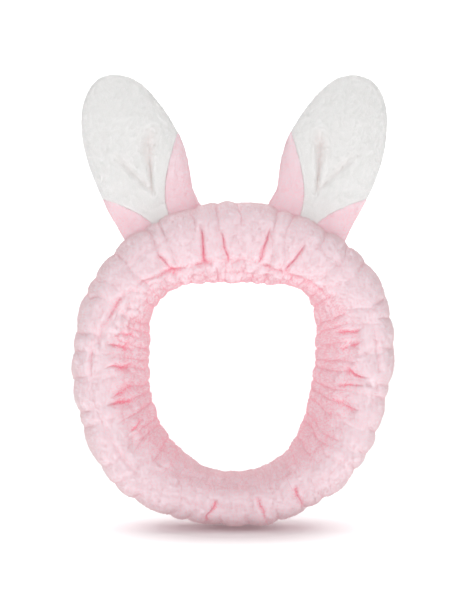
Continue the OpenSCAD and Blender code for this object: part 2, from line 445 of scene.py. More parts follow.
@dataclass(frozen=True)
class PileFibre(Fleece):
    """The finish of the pile's own fibres, which matches the fleece that they stand on."""

    def material(self) -> bpy.types.Material:
        """Builds the fibres' material, with the same painted shade and painted glow, for a mesh that keeps
        its folds as fold.
        """
        graph = Graph(self.name)
        # Painted shade and painted glow follow the fold mask, as on the fleece.
        share = (graph.kept("fold") + (graph.noise(110.0) - 0.45) * 0.3).held()
        veil = tuple(self.veil * part for part in self.crest)
        return graph.shade(
            Base_Color=graph.blend(share, self.crest, self.depth), Roughness=0.95,
            Emission_Color=graph.blend(share, veil, self.depth),
            Emission_Strength=self.glow, Subsurface_Weight=0.7,
            Subsurface_Radius=(1.0, 0.6, 0.65), Subsurface_Scale=4 * MM, Specular_IOR_Level=0.05)


@dataclass(frozen=True)
class Thread:
    """Twisted sewing thread.

    Attributes:
        name: The finish's name.
        colour: Colour of the thread.
        dark: Painted shade colour between its strands.
    """

    name: str
    colour: Colour
    dark: Colour

    def material(self) -> bpy.types.Material:
        """Builds the thread's material."""
        graph = Graph(self.name)
        strands = graph.noise(3200.0, 1.0)
        # Painted shade: the colour darkens where the strands' bump is low, between them.
        return graph.shade(Base_Color=graph.blend(strands, self.dark, self.colour),
                           Roughness=strands * 0.2 + 0.5,
                           Normal=graph.relief(strands, 0.15 * MM, 0.6))


@dataclass(frozen=True)
class Webbing:
    """Woven elastic webbing, ribbed along its length.

    Attributes:
        name: The finish's name.
        colour: Colour of the ribs.
        dark: Painted shade colour between them.
    """

    name: str
    colour: Colour
    dark: Colour

    def material(self) -> bpy.types.Material:
        """Builds the webbing's material."""
        graph = Graph(self.name)
        ribs = graph.node("ShaderNodeTexWave", {"bands_direction": "Y"},
                          {"Vector": graph.place(), "Scale": 160.0, "Distortion": 0.6})
        weave = ribs * 0.7 + graph.noise(1800.0) * 0.3
        # Painted shade: the colour darkens where the weave's bump is low, between the ribs.
        return graph.shade(Base_Color=graph.blend(weave.held(), self.dark, self.colour),
                           Roughness=0.9 - 0.1 * weave, Normal=graph.relief(weave, 0.3 * MM, 0.7))


class Finish(Enum):
    """Every finish on the headband."""

    # On the fleeces and piles the second colour is painted shade where the fold mask is high, and the two
    # numbers set their painted glow. The stuffing has no fold mask, so its second colour shows only as
    # random tone.
    PINK_FLEECE = Fleece("pink_fleece", (0.865, 0.535, 0.57), (0.97, 0.24, 0.33), 0.52, 0.48)
    WHITE_FLEECE = Fleece("white_fleece", (0.885, 0.885, 0.87), (0.86, 0.70, 0.68), 0.25, 0.93)
    PINK_PILE = PileFibre("pink_pile", (0.875, 0.55, 0.585), (0.97, 0.26, 0.35), 0.48, 0.52)
    WHITE_PILE = PileFibre("white_pile", (0.90, 0.90, 0.885), (0.87, 0.72, 0.70), 0.24, 0.97)
    PINK_THREAD = Thread("pink_thread", (0.85, 0.45, 0.58), (0.62, 0.24, 0.36))
    WHITE_THREAD = Thread("white_thread", (0.86, 0.85, 0.82), (0.6, 0.58, 0.55))
    ELASTIC = Webbing("elastic_webbing", (0.84, 0.82, 0.76), (0.55, 0.53, 0.48))
    STUFFING = Fleece("stuffing", (0.88, 0.87, 0.84), (0.7, 0.69, 0.66))


def dress(piece: bpy.types.Object, finish: Finish) -> None:
    """Gives a piece its finish.

    Args:
        piece: The piece to dress.
        finish: Its finish.
    """
    material = bpy.data.materials.get(finish.value.name) or finish.value.material()
    piece.data.materials.clear()
    piece.data.materials.append(material)


# ---- Fleece pile and thread -----------------------------------------------------------------------


@dataclass
class Pile:
    """The fleece's own fibres, as tiny closed spikes that stand on a surface.

    Attributes:
        length: Mean length of a fibre.
        width: Width at its root.
        lean: How far a fibre's tip strays sideways, as a part of its length.
        seed: Tells one patch of pile from another.
    """

    length: float = 1.2 * MM
    width: float = 0.3 * MM
    lean: float = 0.3
    seed: int = 7

    def grow(self, name: str, surface: bpy.types.Object, count: int,
             keep: np.ndarray | None = None) -> bpy.types.Object:
        """Grows fibres all over a surface.

        Args:
            name: The new piece's name.
            surface: The mesh that the fibres stand on.
            count: How many fibres to grow.
            keep: For each face, how thickly it is covered, or None for evenly.

        Returns:
            One piece that holds all the fibres.
        """
        rng = np.random.default_rng(self.seed)
        points, normals = points_of(surface), normals_of(surface)
        surface.data.calc_loop_triangles()
        triangles = np.zeros(len(surface.data.loop_triangles) * 3, np.int32)
        surface.data.loop_triangles.foreach_get("vertices", triangles)
        triangles = triangles.reshape(-1, 3)
        a, b, c = (points[triangles[:, k]] for k in range(3))
        area = np.linalg.norm(np.cross(b - a, c - a), axis=1)
        if keep is not None:
            area = area * keep[triangles].mean(axis=1)
        chosen = rng.choice(len(triangles), count, p=area / area.sum())
        split = rng.random((count, 2))
        split = np.where(split.sum(axis=1, keepdims=True) > 1, 1 - split, split)
        one, two = split[:, :1], split[:, 1:]
        corner = triangles[chosen]
        root = (1 - one - two) * points[corner[:, 0]] + one * points[corner[:, 1]] \
            + two * points[corner[:, 2]]
        up = normals[corner].mean(axis=1)
        up /= np.linalg.norm(up, axis=1, keepdims=True)
        clump = np.stack([wandering(root, 3.0 * MM, self.seed + k) for k in range(3)], axis=1)
        stray = rng.normal(size=(count, 3)) * 0.6 + clump * 1.2
        tip_way = up + self.lean * stray
        tip_way /= np.linalg.norm(tip_way, axis=1, keepdims=True)
        long = self.length * rng.uniform(0.6, 1.25, (count, 1))
        side = np.cross(up, rng.normal(size=(count, 3)))
        side /= np.linalg.norm(side, axis=1, keepdims=True)
        other = np.cross(up, side)
        half = self.width / 2
        sunk = root - up * half
        base = [sunk + half * (math.cos(turn) * side + math.sin(turn) * other)
                for turn in (0, 2 * math.pi / 3, 4 * math.pi / 3)]
        corners = np.stack([*base, root + tip_way * long], axis=1).reshape(-1, 3)
        spike = np.array([[0, 2, 1], [0, 1, 3], [1, 2, 3], [2, 0, 3]])
        faces = (np.arange(count)[:, None, None] * 4 + spike).reshape(-1, 3)
        piece = mesh_piece(name, corners, faces)
        smooth(piece)
        piece.data.normals_split_custom_set_from_vertices(np.repeat(up, 4, axis=0).tolist())
        # The fibres take the painted fold shade of the surface under them.
        fold = np.zeros(len(points), np.float32)
        surface.data.attributes["fold"].data.foreach_get("value", fold)
        store(piece, "fold", np.repeat(fold[corner].mean(axis=1), 4))
        return piece


@dataclass
class Stitching:
    """A row of short stitches along a path.

    Attributes:
        thickness: Thickness of the thread.
        length: Length of one stitch.
    """

    thickness: float = 0.7 * MM
    length: float = 3.0 * MM

    def sew(self, name: str, centres: np.ndarray, ways: np.ndarray) -> bpy.types.Object:
        """Sews one stitch at each centre.

        Args:
            name: The new piece's name.
            centres: Rows of x, y, z.
            ways: The direction in which each stitch lies.

        Returns:
            One piece that holds all the stitches.
        """
        bpy.ops.mesh.primitive_ico_sphere_add(subdivisions=2, radius=0.5)
        bead = bpy.context.active_object
        shape = points_of(bead)
        sides = np.array([list(face.vertices) for face in bead.data.polygons])
        bpy.data.objects.remove(bead)
        ways = ways / np.linalg.norm(ways, axis=1, keepdims=True)
        across = np.cross(ways, np.array([0.31, 0.87, 0.38]))
        across /= np.linalg.norm(across, axis=1, keepdims=True)
        third = np.cross(ways, across)
        placed = centres[:, None, :] + self.length * shape[None, :, :1] * ways[:, None, :] \
            + self.thickness * (shape[None, :, 1:2] * across[:, None, :]
                                + shape[None, :, 2:3] * third[:, None, :])
        faces = (np.arange(len(centres))[:, None, None] * len(shape) + sides).reshape(-1, 3)
        piece = mesh_piece(name, placed.reshape(-1, 3), faces)
        smooth(piece)
        return piece


# ---- The gathered loop ----------------------------------------------------------------------------


@dataclass(frozen=True)
class Gather:
    """A crease that the thread pulls across the front of the loop.

    Attributes:
        angle: Where it is, in degrees from the top towards the wearer's left.
        near: Distance of its inner end from the loop's middle.
        far: Distance of its outer end.
        depth: How deep it is.
        slant: Degrees by which its outer end is turned on from its inner end.
    """

    angle: float
    near: float
    far: float
    depth: float
    slant: float = 0.0


@dataclass(frozen=True)
class GatherRow:
    """A row of such creases, evenly spread but each a little unlike the last.

    Attributes:
        first: Angle of its first crease, in degrees from the top towards the wearer's left.
        last: Angle of its last crease.
        count: How many creases it has.
        near: Distance of their inner ends from the loop's middle.
        length: Their mean length.
        depth: Their mean depth.
    """

    first: float
    last: float
    count: int
    near: float
    length: float
    depth: float

    def creases(self) -> list[Gather]:
        """Lays out the row's creases."""
        made = []
        for number, angle in enumerate(np.linspace(self.first, self.last, self.count)):
            stray = math.sin(2.4 * number + self.first)
            made.append(Gather(angle + 1.3 * stray, self.near + stray * MM,
                               self.near + self.length * (1 + 0.15 * stray),
                               self.depth * (1 + 0.2 * stray), 2.5 * stray))
        return made


@dataclass(frozen=True)
class Swell:
    """A broad place where the loop or its opening stands out or falls in.

    Attributes:
        angle: Its middle, in degrees from the top towards the wearer's left.
        height: How far it stands out, or falls in if negative.
        spread: Degrees over which it fades out.
    """

    angle: float
    height: float
    spread: float

    def at(self, degrees: np.ndarray) -> np.ndarray:
        """The height at each angle."""
        away = (degrees - self.angle + 180) % 360 - 180
        return self.height * np.exp(-(away / self.spread) ** 2)


@dataclass
class GatheredLoop:
    """The loop: a tube of fleece gathered round hidden elastic.

    Attributes:
        segments: Points round the loop, before the grid is refined.
        ribs: Points round the tube, before the grid is refined.
        cuts: Cuts made in each edge to refine the grid.
        squareness: How square the tube's section is; 2 is round.
        base: How far the bottoms of the gathers lie inside the plain tube.
        casing_r: Radius of the line of stitches on the front and back faces.
        gathers: How many times the outside of the tube is gathered.
        fine_gathers: How many times the wall of the opening is gathered.
        unevenness: How far a gather strays, as a part of the distance between gathers.
        rows: The rows of deeper creases on the front.
        swells: The broad unevenness of the outside.
        mouth: The broad unevenness of the opening's front edge.
        throat: The broad unevenness of the opening's back edge.
    """

    segments: int = 215
    ribs: int = 62
    cuts: int = 3
    squareness: float = 2.5
    casing_r: float = 85 * MM
    gathers: int = 36
    fine_gathers: int = 48
    unevenness: float = 0.22
    rows: tuple[GatherRow, ...] = (
        GatherRow(-32, 28, 5, 64 * MM, 17 * MM, 4.5 * MM),
        GatherRow(-120, -72, 6, 61 * MM, 11 * MM, 4 * MM),
        GatherRow(72, 110, 5, 65 * MM, 10 * MM, 3.5 * MM),
        GatherRow(154, 187, 3, 80 * MM, 14 * MM, 4 * MM))
    swells: tuple[Swell, ...] = (
        Swell(-135, 5 * MM, 20), Swell(55, 3 * MM, 20), Swell(-55, 2 * MM, 20), Swell(105, -4 * MM, 17))
    mouth: tuple[Swell, ...] = (
        Swell(52, 6.5 * MM, 20), Swell(-66, -3 * MM, 12))
    throat: tuple[Swell, ...] = (
        Swell(105, -5 * MM, 26), Swell(-95, 2 * MM, 40), Swell(-54, 7 * MM, 13), Swell(20, -3 * MM, 14))
    base: float = 3.5 * MM
    outer_r: float = field(init=False)
    rise: float = field(init=False)
    half_width: float = field(init=False)
    angle: np.ndarray = field(init=False)
    turn: np.ndarray = field(init=False)

    def __post_init__(self) -> None:
        """Takes the loop's sizes from the frame."""
        low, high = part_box("band_cover")
        self.outer_r = (high.x - low.x) / 2
        self.rise = (high.z + low.z) / 2
        self.half_width = (high.y - low.y) / 2

    def opening(self, angle: np.ndarray, back: np.ndarray) -> np.ndarray:
        """Distance from the loop's middle to the wall of the opening.

        Args:
            angle: Angles from the top, in radians.
            back: 0 at the front edge and 1 at the back edge.

        Returns:
            The distance for each angle, measured from the outside's own centre.
        """
        def oval(turn: np.ndarray, wide: float, high: float, low: float, square: float) -> np.ndarray:
            """Distance to an oval opening that is squarer above than below."""
            upper = smoothstep(-0.3, 0.4, np.cos(turn))
            power = 2.1 + (square - 2.1) * upper
            reach = low + (high - low) * upper
            return (np.abs(np.sin(turn) / wide) ** power
                    + np.abs(np.cos(turn) / reach) ** power) ** (-1 / power)

        distance = np.full_like(angle, 60 * MM)
        for _ in range(3):
            turn = np.arctan2(distance * np.sin(angle), distance * np.cos(angle) + self.rise)
            front = oval(turn, 64.0 * MM, 52.5 * MM, 61.0 * MM, 2.7)
            front = front + sum(swell.at(np.degrees(turn)) for swell in self.mouth)
            rear = oval(turn, 43.5 * MM, 62.0 * MM, 57.0 * MM, 6.0)
            rear = rear + sum(swell.at(np.degrees(turn)) for swell in self.throat)
            reach = front + (rear - front) * back
            distance = np.sqrt(np.maximum(reach ** 2 - (self.rise * np.sin(angle)) ** 2, 0)) \
                - self.rise * np.cos(angle)
        return distance

    def form(self, angle: np.ndarray, turn: np.ndarray) -> np.ndarray:
        """The tube before it is gathered.

        Args:
            angle: Angles round the loop, from the top, in radians.
            turn: Angles round the tube: 0 is outwards and a quarter turn is the front.

        Returns:
            Rows of x, y, z.
        """
        power = 2 / self.squareness
        across = np.sign(np.cos(turn)) * np.abs(np.cos(turn)) ** power
        ahead = np.sign(np.sin(turn)) * np.abs(np.sin(turn)) ** power
        inner = self.opening(angle, (1 - ahead) / 2)
        outer = self.outer_r + sum(swell.at(np.degrees(angle)) for swell in self.swells)
        distance = inner + (outer - inner) * (across + 1) / 2
        return np.stack([distance * np.sin(angle), -self.half_width * ahead,
                         self.rise + distance * np.cos(angle)], axis=1)

    def gathered_at(self, count: int) -> np.ndarray:
        """Angles of so many uneven gathers round the loop, in degrees and in rising order."""
        pitch = 360 / count
        return pitch * (np.arange(count) + self.unevenness * np.sin(2.4 * np.arange(count))) - 176

    def puffs(self, degrees: np.ndarray, folds: np.ndarray, power: float) -> np.ndarray:
        """The roundness of the puffs between folds: 0 in each fold, up to about 1 between.

        Args:
            degrees: Angles round the loop.
            folds: Angles of the folds, in rising order.
            power: Below 1 makes the folds sharp.

        Returns:
            One number for each angle.
        """
        ends = np.concatenate([folds, [folds[0] + 360]])
        wrapped = (degrees - folds[0]) % 360 + folds[0]
        index = np.clip(np.searchsorted(ends, wrapped, side="right") - 1, 0, len(folds) - 1)
        span = ends[index + 1] - ends[index]
        part = np.clip((wrapped - ends[index]) / span, 0, 1)
        size = np.clip(np.sqrt(span / 10), 0.6, 1.35)
        return size * (4 * part * (1 - part)) ** power

    def relief(self, angle: np.ndarray, turn: np.ndarray,
               points: np.ndarray) -> tuple[np.ndarray, np.ndarray]:
        """How far the gathered fleece stands off the plain tube, and how much painted shade it gets in its
        folds, creases and opening.

        Args:
            angle: Angles round the loop, in radians.
            turn: Angles round the tube, in radians.
            points: The plain tube's points.

        Returns:
            The height in metres and the painted fold shade from 0 to 1, for each point.
        """
        distance = np.hypot(points[:, 0], points[:, 2] - self.rise)
        across, ahead = np.cos(turn), np.sin(turn)
        degrees = np.degrees(angle)
        stray = degrees + 2.2 * wandering(points, 17 * MM, 3)
        front = smoothstep(0.15, 0.6, ahead)
        inward = smoothstep(-0.25, -0.8, across)
        folds = self.gathered_at(self.gathers)
        outer = self.puffs(stray, folds, 0.6)
        soft = self.puffs(stray + 3 * wandering(points, 30 * MM, 4), folds, 1.0)
        inner = self.puffs(stray, self.gathered_at(self.fine_gathers), 0.6)
        # Painted shade that deepens the colour across the front and outer faces towards the opening.
        painted_inner_shade = 0.22 * smoothstep(90 * MM, 60 * MM, distance) * (1 - inward)
        rim = smoothstep(0.1, 0.8, across)
        beside = smoothstep(165, 130, np.abs(degrees))
        height = (1 - inward) * (1.2 * (1 - rim) * soft + 2.4 * rim * outer) * MM \
            + inward * (0.7 + 0.9 * beside) * MM * inner + 0.5 * MM * (1 - rim) - self.base
        # The fold mask is painted shade: deeper colour in the gathers' folds, and on the opening's wall,
        # most at its sides.
        fold = (1 - inward) * np.clip(1 - outer, 0, 1) ** 3 * (0.1 + 0.2 * rim) \
            + inward * (0.1 + 0.32 * beside + np.clip(1 - inner, 0, 1) ** 2 * (0.1 + 0.25 * beside)) \
            + painted_inner_shade

        line = self.casing_r + 1.5 * MM * wandering(points * [1, 0, 1], 25 * MM, 5)
        top = smoothstep(40, 22, np.abs(degrees))
        groove = np.exp(-((distance - line) / (2.2 * MM)) ** 2) * smoothstep(0.3, 0.7, np.abs(ahead))
        strong = np.exp(-((degrees + 85) / 35) ** 2) + 0.6 * np.exp(-((degrees - 85) / 30) ** 2)
        groove = groove * (1 - 0.65 * top * front)
        broken = smoothstep(-0.35, 0.35, wandering(points, 11 * MM, 6))
        groove = groove * (0.25 + 0.75 * broken)
        height = height - (0.8 + 0.8 * strong) * MM * groove
        # Painted shade in the groove along the line of stitches.
        fold = fold + (0.1 + 0.15 * strong) * groove

        upper = 61 * MM + 20 * MM * smoothstep(15, 78, -degrees) + 5 * MM * smoothstep(15, 60, degrees)
        shown = smoothstep(-88, -66, degrees) * smoothstep(62, 38, degrees) * front
        upper = upper + 1.6 * MM * wandering(points * [1, 0, 1], 8 * MM, 8)
        ledge = np.exp(-((distance - upper) / (1.8 * MM)) ** 2) * shown
        ledge = ledge * (0.35 + 0.65 * smoothstep(-0.4, 0.4, wandering(points, 9 * MM, 9)))
        under = shown * smoothstep(1 * MM, -3 * MM, distance - upper)
        height = height - 4.0 * MM * ledge - 2.0 * MM * under
        # Painted shade under the ledge at the top of the opening.
        fold = fold + 0.65 * ledge

        for crease in (crease for row in self.rows for crease in row.creases()):
            part = np.clip((distance - crease.near) / (crease.far - crease.near), 0, 1)
            away = (degrees - crease.angle - crease.slant * part + 180) % 360 - 180
            away = np.radians(away) * distance + 1.3 * MM * wandering(points, 7 * MM, 14)
            ends = smoothstep(crease.near - 4 * MM, crease.near, distance) \
                * smoothstep(crease.far + 5 * MM, crease.far - 4 * MM, distance)
            width = (1.3 - 0.5 * part) * MM
            cut = np.exp(-np.abs(away / width) ** 1.4) * ends * front
            pull = np.exp(-(away / (5 * MM)) ** 2) * ends * front
            height = height - 0.7 * crease.depth * cut - 0.15 * crease.depth * pull
            # Painted shade down each crease.
            fold = fold + 0.9 * cut + 0.12 * pull

        lip = np.exp(-((across + 0.75) / 0.3) ** 2) * front
        height = height + 2.2 * MM * lip * wandering(points, 10 * MM, 13)
        height = height + 0.8 * MM * wandering(points, 17 * MM, 11)
        height = height + 0.35 * MM * wandering(points, 7 * MM, 12)
        lumpy = shown * smoothstep(2 * MM, -2 * MM, distance - upper) + 0.4 * inward
        height = height + (0.5 + 1.8 * lumpy) * MM * tufts(points, 5.0 * MM, 21)
        return height, np.clip(fold, 0, 1)

    def build(self) -> bpy.types.Object:
        """Gathers a plain torus into the loop's fleece cover."""
        bpy.ops.mesh.primitive_torus_add(
            major_segments=self.segments, minor_segments=self.ribs, major_radius=self.outer_r,
            minor_radius=self.half_width, rotation=(math.pi / 2, 0, 0))
        cover = bpy.context.active_object
        cover.name = "fleece_cover"
        select_only(cover)
        bpy.ops.object.transform_apply(location=True, rotation=True, scale=True)
        bpy.ops.object.mode_set(mode="EDIT")
        bpy.ops.mesh.select_all(action="SELECT")
        bpy.ops.mesh.subdivide(number_cuts=self.cuts)
        bpy.ops.object.mode_set(mode="OBJECT")
        plain = points_of(cover)
        self.angle = angle = np.arctan2(plain[:, 0], plain[:, 2])
        self.turn = turn = np.arctan2(-plain[:, 1], np.hypot(plain[:, 0], plain[:, 2]) - self.outer_r)
        points = self.form(angle, turn)
        move_points(cover, points)
        height, fold = self.relief(angle, turn, points)
        gathered = points + normals_of(cover) * height[:, None]
        move_points(cover, gathered)
        tufted = (0.3 * tufts(gathered, 2.6 * MM, 31) + 0.15 * tufts(gathered, 1.4 * MM, 41)) * MM
        move_points(cover, gathered + normals_of(cover) * tufted[:, None])
        # The fold mask, painted shade for the material, is kept on the mesh.
        store(cover, "fold", fold)
        smooth(cover)
        dress(cover, Finish.PINK_FLEECE)
        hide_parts("band_cover")
        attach(cover, "band")
        return cover


@dataclass
class Elastic:
    """The elastic sewn inside the loop, stretched round the opening, with its lapped ends.

    Attributes:
        loop: The loop that it runs in.
        width: Width of the strip.
        thickness: Thickness of the strip.
        depth: Fleece between the strip and the opening.
        lap_at: Where its ends overlap, in degrees from the top.
        lap_half: Half of the overlap, in degrees.
        steps: Points along the strip.
    """

    loop: GatheredLoop
    width: float = 28 * MM
    thickness: float = 1.2 * MM
    depth: float = 7.5 * MM
    lap_at: float = 205
    lap_half: float = 7
    steps: int = 240

    def line(self, degrees: np.ndarray, ahead: float, lift: float) -> np.ndarray:
        """Points along the strip.

        Args:
            degrees: Angles from the top.
            ahead: Distance forward of the middle of the loop.
            lift: Distance outwards from the strip's inner face.

        Returns:
            Rows of x, y, z.
        """
        angle = np.radians(degrees)
        back = (1 - ahead / self.loop.half_width) / 2
        distance = self.loop.opening(angle, np.full_like(angle, back)) + self.depth + lift
        return np.stack([distance * np.sin(angle), np.full_like(angle, -ahead),
                         self.loop.rise + distance * np.cos(angle)], axis=1)

    def strip(self, name: str, begin: float, end: float, lift: float, width: float,
              closed: bool) -> bpy.types.Object:
        """Makes one strip between two angles.

        Args:
            name: The new piece's name.
            begin: Its first angle, in degrees.
            end: Its last angle.
            lift: How far it lies outwards from the first layer.
            width: Its width.
            closed: True for a strip that runs all the way round.

        Returns:
            The piece.
        """
        degrees = np.linspace(begin, end, self.steps, endpoint=not closed)
        corners = [(width / 2, lift), (-width / 2, lift), (-width / 2, lift + self.thickness),
                   (width / 2, lift + self.thickness)]
        points = np.stack([self.line(degrees, *corner) for corner in corners], axis=1)
        last = self.steps if closed else self.steps - 1
        along = np.arange(last)[:, None]
        after = (along + 1) % self.steps
        side, over = np.arange(4)[None, :], (np.arange(4)[None, :] + 1) % 4
        faces = np.stack([along * 4 + side, along * 4 + over, after * 4 + over, after * 4 + side],
                         axis=-1).reshape(-1, 4)
        if not closed:
            top = (self.steps - 1) * 4
            faces = np.concatenate([faces, [[3, 2, 1, 0], [top, top + 1, top + 2, top + 3]]])
        return mesh_piece(name, points.reshape(-1, 3), faces)

    def build(self) -> list[bpy.types.Object]:
        """Makes the strip, its lapped end and the stitches across the lap."""
        band = self.strip("elastic_strip", 0, 360, 0, self.width, True)
        lap = self.strip("elastic_lap", self.lap_at - self.lap_half, self.lap_at + self.lap_half,
                         self.thickness, self.width - 1 * MM, False)
        for piece in (band, lap):
            dress(piece, Finish.ELASTIC)
            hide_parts("elastic_band")
            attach(piece, "band")
        rows, places, ways = np.linspace(-11 * MM, 11 * MM, 8), [], []
        for row in rows:
            points = self.line(self.lap_at + np.linspace(-5, 5, 5), row, 2.2 * self.thickness)
            places.append(points)
            ways.append(np.tile([0, 1, 0], (len(points), 1)))
        stitches = Stitching(0.5 * MM, 2.6 * MM).sew(
            "lap_stitches", np.concatenate(places), np.concatenate(ways).astype(float))
        dress(stitches, Finish.WHITE_THREAD)
        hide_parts("elastic_lap_stitches")
        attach(stitches, "band")
        return [band, lap, stitches]


@dataclass
class LoopStitches:
    """The stitches that gather the fleece, sunk into its creases.

    Attributes:
        cover: The finished fleece cover.
        loop: The loop that it came from.
        pitch: Distance from one stitch to the next.
        sunk: How far below the surface the thread lies.
    """

    cover: bpy.types.Object
    loop: GatheredLoop
    pitch: float = 4.0 * MM
    sunk: float = 0.25 * MM

    def line(self, chosen: np.ndarray, order: np.ndarray) -> np.ndarray:
        """Points just under the cover's surface.

        Args:
            chosen: Which of the cover's points to use.
            order: What to sort them by.

        Returns:
            Rows of x, y, z.
        """
        index = np.flatnonzero(chosen)
        index = index[np.argsort(order[index])]
        return points_of(self.cover)[index] - normals_of(self.cover)[index] * self.sunk

    def row(self, name: str, node: str, turns: list[tuple[float, float]]) -> bpy.types.Object:
        """Sews stitches on the cover along lines round the loop.

        Args:
            name: The new piece's name.
            node: The frame's node that it stands for.
            turns: For each line, the angle round the tube and the line's radius.

        Returns:
            The piece.
        """
        centres, ways = [], []
        for turn, radius in turns:
            away = np.abs(self.loop.turn - math.radians(turn))
            line = self.line(away < away.min() + 1e-3, self.loop.angle)
            along = np.roll(line, -2, axis=0) - np.roll(line, 2, axis=0)
            step = max(1, round(self.pitch * len(line) / (2 * math.pi * radius)))
            centres.append(line[::step])
            ways.append(along[::step])
        piece = Stitching(0.7 * MM, 2.6 * MM).sew(name, np.concatenate(centres), np.concatenate(ways))
        return self.finish(piece, node)

    def across(self, name: str, node: str, degrees: float) -> bpy.types.Object:
        """Sews the seam that closes the loop, right round the tube.

        Args:
            name: The new piece's name.
            node: The frame's node that it stands for.
            degrees: Where the seam is, in degrees from the top.

        Returns:
            The piece.
        """
        away = np.abs(self.loop.angle - math.radians(degrees))
        line = self.line(away < away.min() + 1e-3, self.loop.turn)[::5]
        along = np.roll(line, -1, axis=0) - np.roll(line, 1, axis=0)
        return self.finish(Stitching(0.7 * MM, 2.6 * MM).sew(name, line, along), node)

    def finish(self, piece: bpy.types.Object, node: str) -> bpy.types.Object:
        """Dresses the stitches and ties them to the band."""
        dress(piece, Finish.PINK_THREAD)
        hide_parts(node)
        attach(piece, "band")
        return piece

    def build(self) -> list[bpy.types.Object]:
        """Sews every line of stitches on the loop."""
        outer, wall = self.loop.outer_r, 60 * MM
        return [
            self.row("front_casing_stitches", "casing_stitch_front", [(32, outer), (152, wall)]),
            self.row("back_casing_stitches", "casing_stitch_back", [(-32, outer), (-152, wall)]),
            self.row("tube_seam_stitches", "tube_seam", [(-90, 76 * MM)]),
            self.across("end_seam_stitches", "end_seam", 155)]


# ---- The ears -------------------------------------------------------------------------------------


class Side(Enum):
    """Which ear, by the wearer's own side; its value is the sign of x."""

    LEFT = 1
    RIGHT = -1

    @property
    def word(self) -> str:
        """The side's name, as the frame's nodes use it."""
        return self.name.lower()


